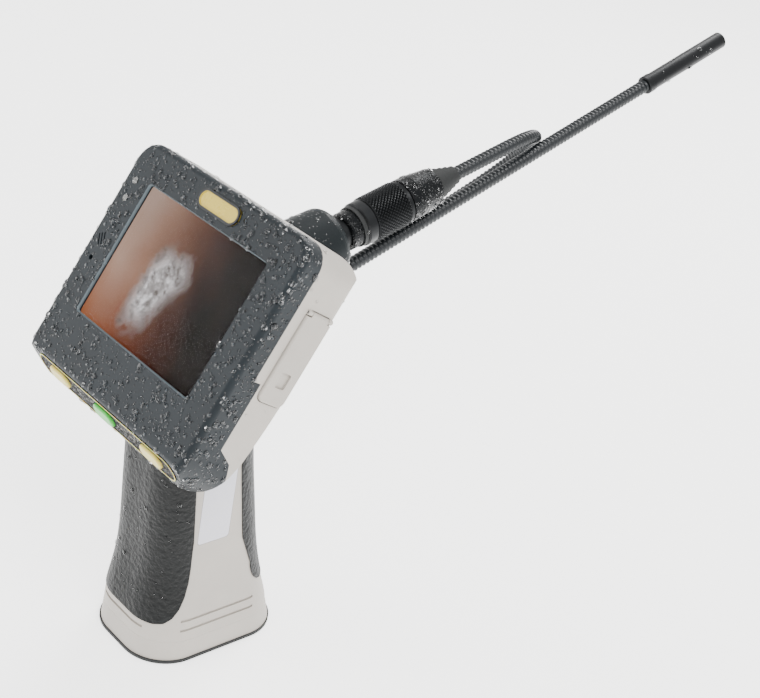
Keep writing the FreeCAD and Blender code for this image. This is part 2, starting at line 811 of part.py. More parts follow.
# ---------------------------------------------------------------- make: nose and coupling
def boss_profile(inset=0.0):
    """Half section of the boss: a slight cone with a round shoulder."""
    rear = -rear_depth
    end = boss_length - inset
    slope = (boss_radius_rear - boss_radius_front) / boss_length
    points = [(0.0, rear), (boss_radius_rear - inset - slope * rear, rear)]
    shoulder = boss_radius_front - inset
    turn = boss_shoulder - inset
    for i in range(shoulder_steps + 1):
        a = math.pi / 2 * i / shoulder_steps
        points.append((shoulder - turn * (1 - math.cos(a)), end - turn + turn * math.sin(a)))
    return points + [(0.0, end)]


def build_boss():
    outer = in_nose(turned(boss_profile())).cut(in_unit(unit_solid()))
    outer = max(outer.Solids, key=lambda s: s.CenterOfMass.y)
    inner = in_nose(turned(boss_profile(boss_wall)))
    hole = in_nose(disc(barrel_radius + seat_gap, 0, reach))
    boss = outer.cut(inner).cut(hole)
    keep("nose_boss", max(boss.Solids, key=lambda s: s.Volume))
    return outer


def build_socket():
    seat = barrel_radius + skin_gap
    barrel = disc(barrel_radius, boss_length - barrel_inside, barrel_end)
    keep("socket_barrel", in_nose(barrel.cut(disc(barrel_bore, 0, reach))))
    lock_end = boss_length - boss_wall - skin_gap
    corners = [V(x, y, lock_end - barrel_nut_length) for x, y in ring_points(barrel_nut_radius, 6)]
    lock = loop_face(corners).extrude(V(0, 0, barrel_nut_length))
    keep("barrel_nut", in_nose(lock.cut(disc(seat, 0, reach))))
    collar = turned([(seat, collar_start), (collar_radius - collar_chamfer, collar_start),
                     (collar_radius, collar_start + collar_chamfer), (collar_radius, collar_end),
                     (seat, collar_end)])
    keep("locking_collar", in_nose(collar))
    seal = disc(seal_radius, collar_end + skin_gap, collar_end + seal_thickness)
    keep("seal_ring", in_nose(seal.cut(disc(seat, 0, reach))))
    start, end = boss_length - insert_inside, boss_length + insert_outside
    insert = disc(barrel_bore - skin_gap, start, end)
    pins = []
    for x, y in ring_points(pin_ring, pin_count):
        insert = insert.cut(disc(pin_radius, 0, reach, x, y))
        pins.append(disc(pin_radius, start, plug_insert_start + pin_overlap, x, y))
    keep("socket_insert", in_nose(insert))
    keep("socket_pins", in_nose(group(pins)))


def build_nut():
    bore = barrel_radius + thread_gap
    neck = plug_neck_radius + thread_gap
    band_end = nut_start + nut_band_length
    front = nut_end - nut_front_band
    nut = turned([(bore, nut_start), (nut_band_radius - collar_chamfer, nut_start),
                  (nut_band_radius, nut_start + collar_chamfer), (nut_band_radius, band_end),
                  (nut_radius, band_end), (nut_radius, front), (nut_band_radius, front),
                  (nut_band_radius, nut_end), (neck, nut_end), (neck, nut_thread_end),
                  (bore, nut_thread_end)])
    keep("coupling_nut", in_nose(nut))


def build_plug():
    band = nut_end + 2 * skin_gap
    shell = turned([(plug_bore, plug_flange_start), (plug_flange_radius, plug_flange_start),
                    (plug_flange_radius, plug_flange_end), (plug_neck_radius, plug_flange_end),
                    (plug_neck_radius, band), (plug_radius_rear, band),
                    (plug_radius_rear, nut_end + plug_band_length),
                    (plug_radius_front, plug_end - plug_chamfer),
                    (plug_radius_front - plug_chamfer, plug_end), (plug_bore, plug_end)])
    keep("plug_shell", in_nose(shell))
    insert = disc(plug_bore - skin_gap, plug_insert_start, plug_flange_end + plug_insert_behind)
    for x, y in ring_points(pin_ring, pin_count):
        insert = insert.cut(disc(pin_radius + seat_gap, 0, plug_insert_start + pin_hole_depth, x, y))
    keep("plug_insert", in_nose(insert))
    inside = gooseneck_radius + skin_gap
    points = [(inside, relief_end), (inside, plug_end)]
    step = relief_length / relief_steps
    fall = (relief_radius - relief_radius_front) / (relief_steps - 1)
    for i in range(relief_steps):
        radius = relief_radius - fall * i
        points += [(radius, plug_end + step * i), (radius, plug_end + step * (i + 1))]
    keep("strain_relief", in_nose(turned(points)))


# ---------------------------------------------------------------- make: gooseneck
run_direction = V(0, math.cos(math.radians(run_rise)), math.sin(math.radians(run_rise)))
run_origin = nose_point(rear_turn_station) - V(0, 0, rear_turn_below)


def run_point(station):
    """A point on the last leg, measured from the corner of the second turn."""
    return run_origin + run_direction * station


def rounded_path(points, radii):
    """Straight runs joined by tangent arcs, as one wire, with the radius at each inner point."""
    edges = []
    start = points[0]
    for before, corner, after, radius in zip(points, points[1:], points[2:], radii):
        back = (before - corner).normalize()
        on = (after - corner).normalize()
        half = back.getAngle(on) / 2
        reach_back = radius / math.tan(half)
        first, last = corner + back * reach_back, corner + on * reach_back
        inward = (back + on).normalize()
        middle = corner + inward * (radius / math.sin(half) - radius)
        edges.append(Part.makeLine(start, first))
        edges.append(Part.Arc(first, middle, last).toShape())
        start = last
        print("bend radius", round(radius, 1), "turn", round(180 - math.degrees(2 * half)))
    edges.append(Part.makeLine(start, points[-1]))
    return Part.Wire(edges)


def tube_along(path, radius):
    direction = path.OrderedEdges[0].tangentAt(path.OrderedEdges[0].FirstParameter)
    start = path.OrderedVertexes[0].Point
    ring = Part.Wire(Part.makeCircle(radius, start, direction))
    tube = path.makePipeShell([ring], True, False)
    expected = math.pi * radius ** 2 * path.Length
    print("loop length", round(path.Length, 1), "volume ratio", round(tube.Volume / expected, 4))
    return tube


def straight_tube(start, end):
    return Part.makeCylinder(gooseneck_radius, start.distanceToPoint(end), start, end - start)


def build_gooseneck():
    root_end = relief_end + root_length
    keep("gooseneck_root", straight_tube(nose_point(plug_end - gooseneck_inside), nose_point(root_end)))
    first = nose_point(root_end + first_turn_corner)
    second = first + V(loop_side, loop_forward, -loop_drop)
    third = run_origin + V(loop_side, rear_turn_forward, -rear_turn_drop)
    points = [nose_point(root_end), first, second, third, run_origin, run_point(bend_start)]
    keep("gooseneck_loop", tube_along(rounded_path(points, turn_radii), gooseneck_radius))
    keep("gooseneck_bend", straight_tube(run_point(bend_start), run_point(bend_end)))
    keep("gooseneck_run", straight_tube(run_point(bend_end), run_point(tip_start)))
    keep("gooseneck_tip", straight_tube(run_point(tip_start), run_point(head_start)))


def build_camera_head():
    turn = FreeCAD.Rotation(V(1, 0, 0), run_rise - 90.0)
    base = run_point(head_start)
    bore = head_radius - head_wall
    floor = head_length - head_pocket
    shell = turned([(0.0, 0.0), (head_collar_radius - head_chamfer, 0.0),
                    (head_collar_radius, head_chamfer), (head_collar_radius, head_collar_length),
                    (head_radius, head_collar_length), (head_radius, head_length - head_chamfer),
                    (head_radius - head_chamfer, head_length), (bore, head_length), (bore, floor),
                    (0.0, floor)])
    keep("camera_head", moved(shell, turn, base))
    front = head_length - lens_inset
    window = disc(bore - skin_gap, front - lens_thickness, front)
    keep("lens_window", moved(window, turn, base))
    behind = front - lens_thickness - skin_gap
    lens = turned([(0, behind - module_length), (module_radius, behind - module_length),
                   (module_radius, behind - lens_barrel), (lens_radius, behind - lens_barrel),
                   (lens_radius, behind), (0, behind)])
    keep("camera_module", moved(lens, turn, base))
    lamps = [disc(tip_lamp_radius, behind - tip_lamp_length, behind, x, y)
             for x, y in ring_points(lamp_ring_radius, tip_lamp_count)]
    keep("tip_lamps", moved(group(lamps), turn, base))


# ---------------------------------------------------------------- make: handle and base
def build_handle(boss_outer):
    unit = in_unit(unit_solid())
    skin = handle_loft(grip_proud).cut(handle_loft(-grip_depth))
    palm = palm_zone().common(skin).cut(unit)
    finger = finger_zone().common(skin).cut(unit).cut(boss_outer)
    shell = handle_loft().cut(handle_loft(-handle_wall)).cut(unit).cut(boss_outer)
    shell = shell.cut(palm).cut(finger)
    for groove in grooves():
        shell = shell.cut(groove)
    shell = shell.cut(label_slab(seat_gap, reach)).cut(screw_holes())
    keep("palm_grip", max(palm.Solids, key=lambda s: s.Volume))
    keep("finger_grip", max(finger.Solids, key=lambda s: s.Volume))
    for name, x in (("handle_left", -reach), ("handle_right", 0.0)):
        half = shell.common(block(x, x + reach, -reach, reach, -reach, reach))
        keep(name, max(half.Solids, key=lambda s: s.Volume))
    keep("side_label", label_slab(0.0, label_thickness + skin_gap))


def across(radius, x0, x1, y, z):
    """A round bar along x."""
    return Part.makeCylinder(radius, x1 - x0, V(x0, y, z), V(1, 0, 0))


def screw_holes():
    """Counterbored holes in the left handle shell."""
    seat = screw_head_depth - grip_half_width
    cuts = []
    for y, z in handle_screws:
        cuts.append(across(screw_radius + skin_gap, -reach, seat + handle_screw_length, y, z))
        cuts.append(across(screw_head_radius + seat_gap, -reach, seat, y, z))
    return group(cuts)


def build_handle_screws():
    seat = screw_head_depth - grip_half_width
    screws = []
    for y, z in handle_screws:
        outside = screw_head_sunk - grip_half_width
        head = across(screw_head_radius, outside, seat, y, z)
        shank = across(screw_radius, seat, seat + handle_screw_length, y, z)
        slot = block(outside - 1, outside + screw_slot_depth, y - screw_slot_half_length,
                     y + screw_slot_half_length, z - screw_slot_half_width, z + screw_slot_half_width)
        screws.append(head.fuse(shank).cut(slot).removeSplitter())
    keep("handle_screws", group(screws))


def build_base():
    rear, front, half, corner = base_section
    foot = section_wire(0.0, rear, front, half, corner, pad_proud)
    pad = Part.Face(foot).extrude(V(0, 0, pad_thickness))
    keep("base_pad", pad.makeFillet(pad_round, edges_on(pad, 0.0)))
    joint = handle_sections[0][1:]
    top = door_joint - skin_gap
    body = Part.makeLoft([section_wire(pad_thickness, rear, front, half, corner),
                          section_wire(top, *joint)], True, False)
    tall = block(-reach, reach, -reach, reach, door_joint, door_joint + door_spigot)
    spigot = handle_loft(-handle_wall - slide_gap).common(tall)
    lowest = min(spigot.Faces, key=lambda f: f.CenterOfMass.z)
    root = lowest.extrude(V(0, 0, -2 * skin_gap))
    floor = pad_thickness + door_floor
    hollow = Part.Face(section_wire(floor, *joint, -handle_wall - spigot_wall)).extrude(V(0, 0, reach))
    door = body.fuse(root).fuse(spigot).cut(hollow).removeSplitter()
    keep("battery_door", door)
    strips = [block(x - contact_half_width, x + contact_half_width,
                    cell_ys[0] - door_contact_overhang, cell_ys[1] + door_contact_overhang,
                    floor + skin_gap, floor + skin_gap + contact_thickness) for x in cell_xs]
    keep("door_contacts", group(strips))
    return floor + skin_gap + contact_thickness


def build_batteries(floor):
    cells = []
    start = floor + contact_gap
    for i, x in enumerate(cell_xs):
        for j, y in enumerate(cell_ys):
            up = (i + j) % 2 == 0
            low = start if up else start + cell_nub
            body = disc(cell_radius, low, low + cell_length - cell_nub, x, y)
            nub_low = low + cell_length - cell_nub if up else start
            nub = disc(cell_nub_radius, nub_low, nub_low + cell_nub, x, y)
            cells.append(body.fuse(nub).removeSplitter())
    keep("battery_cells", group(cells))
    top = start + cell_length + contact_gap
    strips = [block(cell_xs[0] - contact_half_width, cell_xs[1] + contact_half_width,
                    y - contact_half_width, y + contact_half_width, top, top + contact_thickness)
              for y in cell_ys]
    keep("upper_contacts", group(strips))
    half_x = cell_xs[1] + cell_radius + carrier_margin_x
    low_y = cell_ys[0] - cell_radius - carrier_margin_y
    high_y = cell_ys[1] + cell_radius + carrier_margin_y
    base = top + contact_thickness
    keep("contact_carrier", block(-half_x, half_x, low_y, high_y, base, base + carrier_thickness,
                                  carrier_corner))


build_front_housing()
build_rear_housing()
build_screen()
build_face_details()
build_keypad()
build_boards()
build_sockets()
build_port_cover()
build_unit_screws()
boss = build_boss()
build_socket()
build_nut()
build_plug()
build_gooseneck()
build_camera_head()
build_handle(boss)
build_handle_screws()
build_batteries(build_base())

os.makedirs("parts", exist_ok=True)
for name, shape in nodes.items():
    shape.exportStep("parts/" + name + ".step")
print(len(nodes), "sub-parts written")
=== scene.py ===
import math
import random

import bmesh
import bpy
from bpy.props import FloatProperty, FloatVectorProperty, IntProperty, PointerProperty
from mathutils import Matrix, Vector
from mathutils.bvhtree import BVHTree


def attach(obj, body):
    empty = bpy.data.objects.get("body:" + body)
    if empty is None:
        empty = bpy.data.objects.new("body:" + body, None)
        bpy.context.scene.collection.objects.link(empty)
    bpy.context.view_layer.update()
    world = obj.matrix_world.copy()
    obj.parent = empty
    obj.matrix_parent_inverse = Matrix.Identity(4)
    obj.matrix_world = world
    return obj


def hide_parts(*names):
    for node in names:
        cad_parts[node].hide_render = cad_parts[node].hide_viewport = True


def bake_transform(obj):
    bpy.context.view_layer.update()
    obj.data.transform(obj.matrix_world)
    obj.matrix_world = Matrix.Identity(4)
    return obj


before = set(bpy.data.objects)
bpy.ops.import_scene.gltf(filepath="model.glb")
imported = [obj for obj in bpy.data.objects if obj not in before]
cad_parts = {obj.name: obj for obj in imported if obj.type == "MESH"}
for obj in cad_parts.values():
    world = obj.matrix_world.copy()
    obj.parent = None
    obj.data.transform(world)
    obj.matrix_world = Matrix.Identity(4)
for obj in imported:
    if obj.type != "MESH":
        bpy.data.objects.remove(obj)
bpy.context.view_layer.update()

bl_info = {
    "name": "Inspection camera",
    "version": (1, 0, 0),
    "blender": (4, 5, 0),
    "location": "3D View > Sidebar > Camera",
    "description": "Dresses a hand-held inspection camera and sets its stage",
    "category": "Object",
}

# Places of the CAD part that the new pieces share, in metres
TILT = math.radians(60)
GLASS_CENTRE = Vector((0, -0.0265, 0.1554))
NOSE_RISE = math.radians(17)
NOSE_ON_UNIT = Vector((0, 0.0108, -0.028))
RUN_RISE = math.radians(21)
RUN_START = 0.0291                 # nose station that the last leg starts under
RUN_BELOW = 0.0198
PLUG_END = 0.098                   # stations on the nose axis
RELIEF_END = 0.109
ROOT_END = 0.136
FIRST_CORNER = 0.168
NUT_START, NUT_END = 0.0576, 0.081
NUT_THREAD_END = 0.067
NUT_BAND = 0.0089                  # radius of the nut's plain bands
NUT_BORE = 0.00633                 # radius of its thread
NUT_NECK_BORE = 0.00528
JACKET_INSIDE_PLUG = 0.004         # the jacket starts that far inside the plug
BEND_START, BEND_END = 0.066, 0.126  # stations on the last leg
TIP_START, HEAD_START = 0.161, 0.201
LOOP_RETURN = Vector((-0.0414, 0.0137, -0.0444))   # from the first corner to the far side of the loop
LOOP_FOOT = Vector((-0.0414, 0.0136, -0.0352))     # and the lowest corner, from the last leg's start
LOOP_LAST = 0.046                  # station on the last leg where the loop's last corner lies
FACE_HEIGHT = 0.002
BADGE_CENTRE = Vector((0.0022, 0.034, 0))
FACET_UPPER = Vector((0, -0.0478, 0.002))
FACET_LOWER = Vector((0, -0.055, -0.009))
# Outlines with round corners: half length, half height and corner radius
KEYPAD_OUTLINE = (0.04480, 0.00540, 0.0054)
WINDOW_OUTLINE = (0.03605, 0.02730, 0.0015)
BADGE_OUTLINE = (0.01156, 0.00376, 0.0037)

# Soft lights: name, place, what they point at, width in metres and power in watts
LIGHTS = (("key", (0.9, -0.3, 1.3), (0, 0.05, 0.12), 0.6, 20.0),
          ("fill", (-0.9, -1.05, 0.6), (0, -0.03, 0.15), 0.75, 7.0),
          ("back", (-0.4, 1.0, 1.1), (0, 0.1, 0.15), 0.6, 16.0))
WORLD_STRENGTH = 1.5
# Camera: its place, its right, up and back directions and its lens
EYE_PLACE = Vector((0.38838, -0.31767, 0.39082))
EYE_AXES = ((.6473, .7436, .1676), (-.444, .1891, .8758), (.6195, -.6414, .4526))
EYE_LENS = 71.05

UNIT = Matrix.Translation(GLASS_CENTRE) @ Matrix.Rotation(TILT, 4, "X")
NOSE = Matrix.Translation(UNIT @ NOSE_ON_UNIT) @ Matrix.Rotation(NOSE_RISE - math.pi / 2, 4, "X")
RUN_ORIGIN = NOSE @ Vector((0, 0, RUN_START)) - Vector((0, 0, RUN_BELOW))
RUN = Matrix.Translation(RUN_ORIGIN) @ Matrix.Rotation(RUN_RISE - math.pi / 2, 4, "X")


# ---------------------------------------------------------------- sizes and colours
def size(name, description, default):
    return FloatProperty(name=name, description=description, default=default, unit="LENGTH",
                         precision=5, min=0.0)


def linear(code):
    """A linear colour from an sRGB hex code."""
    channels = [int(code[i:i + 2], 16) / 255 for i in (1, 3, 5)]
    return tuple(c / 12.92 if c <= 0.04045 else ((c + 0.055) / 1.055) ** 2.4 for c in channels)


def colour(name, description, code):
    return FloatVectorProperty(name=name, description=description, subtype="COLOR", size=3, min=0.0,
                               max=1.0, default=linear(code))


class CameraSizes(bpy.types.PropertyGroup):
    """Sizes of the pieces that are modelled here."""
    jacket_radius: size("Jacket radius", "Over the ribs of the gooseneck", 0.00298)
    rib_pitch: size("Rib pitch", "From one turn of the gooseneck's spiral rib to the next", 0.0021)
    rib_depth: size("Rib depth", "Of the spiral groove", 0.00048)
    knurl_radius: size("Knurl radius", "Over the points of the coupling nut's knurl", 0.0094)
    knurl_pitch: size("Knurl pitch", "From point to point of the knurl", 0.0016)
    knurl_depth: size("Knurl depth", "Of the knurl's grooves", 0.0005)
    key_rim_width: size("Key rim width", "Of the line round the keypad", 0.0005)
    smallest_drop: size("Smallest drop", "Radius of the smallest drop of water", 0.00032)
    largest_drop: size("Largest drop", "Radius of the largest drop of water", 0.0014)
    drop_seed: IntProperty(name="Drop seed", description="Changes where the drops lie", default=11)


class CameraColours(bpy.types.PropertyGroup):
    """Colours of the finishes."""
    slate: colour("Slate", "Front housing", "#181E22")
    shell: colour("Shell", "Rear housing and handle", "#A59F97")
    grip: colour("Grip", "Rubber grips", "#080A0A")
    boss: colour("Boss", "Nose of the unit", "#161B1D")
    metal: colour("Metal", "Coupling and camera head", "#0E1012")
    jacket: colour("Jacket", "Gooseneck", "#0F1316")
    green_key: colour("Green key", "Middle button", "#2F9A2C")
    pale_key: colour("Pale key", "Outer buttons and the line round the keypad", "#B9AC52")
    badge: colour("Badge", "Blank badge on the face", "#B39C2E")
    floor: colour("Floor", "Floor and backdrop", "#FCFCFB")


# ---------------------------------------------------------------- materials
def node(tree, kind, settings=None, links=None):
    """Adds a node, fills its properties and sockets, and joins sockets to other nodes' outputs."""
    made = tree.nodes.new(kind)
    for key, value in (settings or {}).items():
        if isinstance(key, str) and hasattr(made, key):
            setattr(made, key, value)
        else:
            made.inputs[key].default_value = value
    for key, output in (links or {}).items():
        tree.links.new(made.inputs[key], output)
    return made


def ramp(tree, factor, stops):
    """A colour ramp with (place, linear colour or grey level) stops."""
    made = node(tree, "ShaderNodeValToRGB", links={"Fac": factor})
    elements = made.color_ramp.elements
    while len(elements) < len(stops):
        elements.new(0.5)
    for element, (place, value) in zip(elements, stops):
        element.position = place
        element.color = (value, value, value, 1) if isinstance(value, float) else (*value, 1)
    return made.outputs["Color"]


def scaled(value, factor):
    return tuple(min(1.0, c * factor) for c in value)


def blank(name):
    """An empty material with its shader and its object coordinates."""
    material = bpy.data.materials.new(name)
    material.use_nodes = True
    tree = material.node_tree
    shader = tree.nodes["Principled BSDF"]
    place = node(tree, "ShaderNodeTexCoord").outputs["Object"]
    return material, tree, shader, place


def surface(name, base, roughness, grain, grain_height, metallic=0.0, mottle=0.16, spread=0.1, gleam=0.35):
    """A finish with fine grain in its height and slow changes in its colour and gloss.

    Grain is the distance between grains and grain_height their height, both in metres.
    """
    material, tree, shader, place = blank(name)
    slow = node(tree, "ShaderNodeTexNoise", {"Scale": 55.0, "Detail": 5.0, "Roughness": 0.62},
                {"Vector": place}).outputs["Fac"]
    fine = node(tree, "ShaderNodeTexNoise", {"Scale": 1.0 / grain, "Detail": 3.0}, {"Vector": place})
    both = node(tree, "ShaderNodeMath", {"operation": "MULTIPLY_ADD", 1: 0.35},
                {0: fine.outputs["Fac"], 2: slow}).outputs["Value"]
    tint = ramp(tree, both, [(0.35, scaled(base, 1 - mottle)), (0.95, scaled(base, 1 + mottle))])
    tree.links.new(shader.inputs["Base Color"], tint)
    gloss = node(tree, "ShaderNodeMapRange", {"To Min": max(0.02, roughness - spread),
                                              "To Max": roughness + spread}, {"Value": both})
    tree.links.new(shader.inputs["Roughness"], gloss.outputs["Result"])
    bump = node(tree, "ShaderNodeBump", {"Strength": 0.6, "Distance": grain_height},
                {"Height": fine.outputs["Fac"]})
    tree.links.new(shader.inputs["Normal"], bump.outputs["Normal"])
    shader.inputs["Metallic"].default_value = metallic
    shader.inputs["Specular IOR Level"].default_value = gleam
    return material


def beaded(name, base, roughness, bead, cover=0.4, metallic=0.0, lift=0.0003, gleam=0.2):
    """A finish under fine beads of water, with a painted dark ring of shade round each bead and a painted
    highlight on its top.

    Bead is the distance between their centres, cover the radius of the widest as a share of it, and
    lift their height. Gleam is the dry surface's specular level.
    """
    material, tree, shader, place = blank(name)
    slow = node(tree, "ShaderNodeTexNoise", {"Scale": 38.0, "Detail": 4.0},
                {"Vector": place}).outputs["Fac"]
    heights = []
    for share, top in ((1.0, 1.0), (2.1, 0.42)):
        cells = node(tree, "ShaderNodeTexVoronoi", {"Scale": share / bead, "Randomness": 1.0},
                     {"Vector": place}).outputs["Distance"]
        heights.append(node(tree, "ShaderNodeMapRange",
                            {"interpolation_type": "SMOOTHSTEP", "From Min": cover, "From Max": 0.04,
                             "To Min": 0.0, "To Max": top}, {"Value": cells}).outputs["Result"])
    height = node(tree, "ShaderNodeMath", {"operation": "MAXIMUM"},
                  {0: heights[0], 1: heights[1]}).outputs["Value"]
    # Painted light: each bead's colour runs from a dark ring of painted shade at its foot to a painted
    # highlight, 2.4 times the base, at its top
    tint = ramp(tree, height, [(0.0, base), (0.05, scaled(base, 0.35)), (0.3, scaled(base, 0.6)),
                               (0.9, scaled(base, 2.4))])
    cloud = ramp(tree, slow, [(0.3, 0.72), (0.7, 1.0)])
    tint = node(tree, "ShaderNodeMix", {"data_type": "RGBA", "blend_type": "MULTIPLY", 0: 1.0},
                {6: tint, 7: cloud}).outputs[2]
    tree.links.new(shader.inputs["Base Color"], tint)
    gloss = node(tree, "ShaderNodeMapRange", {"From Max": 0.15, "To Min": roughness, "To Max": 0.1},
                 {"Value": height})
    tree.links.new(shader.inputs["Roughness"], gloss.outputs["Result"])
    wet_gleam = node(tree, "ShaderNodeMapRange", {"From Max": 0.15, "To Min": gleam, "To Max": 0.4},
                     {"Value": height})
    tree.links.new(shader.inputs["Specular IOR Level"], wet_gleam.outputs["Result"])
    bump = node(tree, "ShaderNodeBump", {"Strength": 1.0, "Distance": lift}, {"Height": height})
    tree.links.new(shader.inputs["Normal"], bump.outputs["Normal"])
    shader.inputs["Metallic"].default_value = metallic
    return material


def screen_picture():
    """The lit picture: the inside of a pipe, pale to the left, with a wet lump of lime in the middle."""
    material, tree, shader, place = blank("lcd_picture")
    flat = node(tree, "ShaderNodeMapping", {"vector_type": "TEXTURE", "Location": GLASS_CENTRE,
                                            "Rotation": (TILT, 0, 0)}, {"Vector": place})
    flat = flat.outputs["Vector"]
    warp = node(tree, "ShaderNodeTexNoise", {"Scale": 45.0, "Detail": 3.0}, {"Vector": flat})
    bent = node(tree, "ShaderNodeVectorMath", {"operation": "MULTIPLY_ADD", 1: (0.016, 0.016, 0.0)},
                {0: warp.outputs["Color"], 2: flat}).outputs["Vector"]
    parts = node(tree, "ShaderNodeSeparateXYZ", links={"Vector": bent})
    across = node(tree, "ShaderNodeMapRange", {"From Min": -0.028, "From Max": 0.042},
                  {"Value": parts.outputs["X"]}).outputs["Result"]
    pipe = ramp(tree, across, [(0.0, linear("#BDA496")), (0.22, linear("#A07D6B")),
                               (0.42, linear("#6E4C3C")), (0.62, linear("#46302A")),
                               (0.8, linear("#1D1613")), (1.0, linear("#0F0C0B"))])
    down = node(tree, "ShaderNodeMapRange", {"From Min": -0.02, "From Max": 0.03},
                {"Value": parts.outputs["Y"]}).outputs["Result"]
    warm = ramp(tree, down, [(0.0, linear("#C9885E")), (0.5, linear("#F2E2D8")), (1.0, linear("#E8E4E2"))])
    shade = node(tree, "ShaderNodeMix", {"data_type": "RGBA", "blend_type": "MULTIPLY", 0: 1.0},
                 {6: pipe, 7: warm}).outputs[2]
    hollow = node(tree, "ShaderNodeMapping", {"vector_type": "TEXTURE", "Location": (0.017, -0.002, 0),
                                              "Rotation": (0, 0, 0.5), "Scale": (0.010, 0.022, 1)},
                  {"Vector": flat})
    hole = node(tree, "ShaderNodeVectorMath", {"operation": "LENGTH"},
                {0: hollow.outputs["Vector"]}).outputs["Value"]
    dark = ramp(tree, hole, [(0.3, 0.35), (1.1, 1.0)])
    shade = node(tree, "ShaderNodeMix", {"data_type": "RGBA", "blend_type": "MULTIPLY", 0: 1.0},
                 {6: shade, 7: dark}).outputs[2]
    oval = node(tree, "ShaderNodeMapping", {"vector_type": "TEXTURE", "Location": (0.000, 0.005, 0),
                                            "Rotation": (0, 0, -0.35), "Scale": (0.011, 0.018, 1)},
                {"Vector": bent})
    away = node(tree, "ShaderNodeVectorMath", {"operation": "LENGTH"},
                {0: oval.outputs["Vector"]}).outputs["Value"]
    grain = node(tree, "ShaderNodeTexNoise", {"Scale": 260.0, "Detail": 6.0, "Roughness": 0.68},
                 {"Vector": flat}).outputs["Fac"]
    ragged = node(tree, "ShaderNodeMath", {"operation": "MULTIPLY_ADD", 1: 1.3}, {0: grain, 2: away})
    soft = node(tree, "ShaderNodeMapRange", {"From Min": 1.25, "From Max": 1.75, "To Min": 1.0,
                                             "To Max": 0.0}, {"Value": ragged.outputs["Value"]})
    lime = ramp(tree, grain, [(0.36, linear("#6A625F")), (0.5, linear("#ABA6A6")),
                              (0.64, linear("#F0EEF0"))])
    shade = node(tree, "ShaderNodeMix", {"data_type": "RGBA"},
                 {0: soft.outputs["Result"], 6: shade, 7: lime}).outputs[2]
    tree.links.new(shader.inputs["Emission Color"], shade)
    shader.inputs["Base Color"].default_value = (0.01, 0.01, 0.01, 1)
    shader.inputs["Emission Strength"].default_value = 1.15
    shader.inputs["Roughness"].default_value = 0.5
    shader.inputs["Specular IOR Level"].default_value = 0.0
    return material


def clear(name, ior, tint, roughness=0.0):
    """A clear finish with faint smears in its gloss."""
    material, tree, shader, place = blank(name)
    smear = node(tree, "ShaderNodeTexNoise", {"Scale": 90.0, "Detail": 2.0}, {"Vector": place})
    gloss = node(tree, "ShaderNodeMapRange", {"To Min": roughness, "To Max": roughness + 0.05},
                 {"Value": smear.outputs["Fac"]})
    tree.links.new(shader.inputs["Roughness"], gloss.outputs["Result"])
    shader.inputs["Base Color"].default_value = (*tint, 1)
    shader.inputs["Transmission Weight"].default_value = 1.0
    shader.inputs["IOR"].default_value = ior
    return material


def translucent_key(name, base):
    """Moulded silicone: light goes a little way in, a soft sheen lies on top, and its own colour is added
    as a faint painted glow.
    """
    material = surface(name, base, 0.32, 0.0006, 0.00002, mottle=0.06)
    shader = material.node_tree.nodes["Principled BSDF"]
    shader.inputs["Subsurface Weight"].default_value = 0.35
    shader.inputs["Subsurface Scale"].default_value = 0.002
    # Painted glow: the key gives off a little light in its own colour, though it is no lamp
    shader.inputs["Emission Color"].default_value = (*base, 1)
    shader.inputs["Emission Strength"].default_value = 0.12
    return material


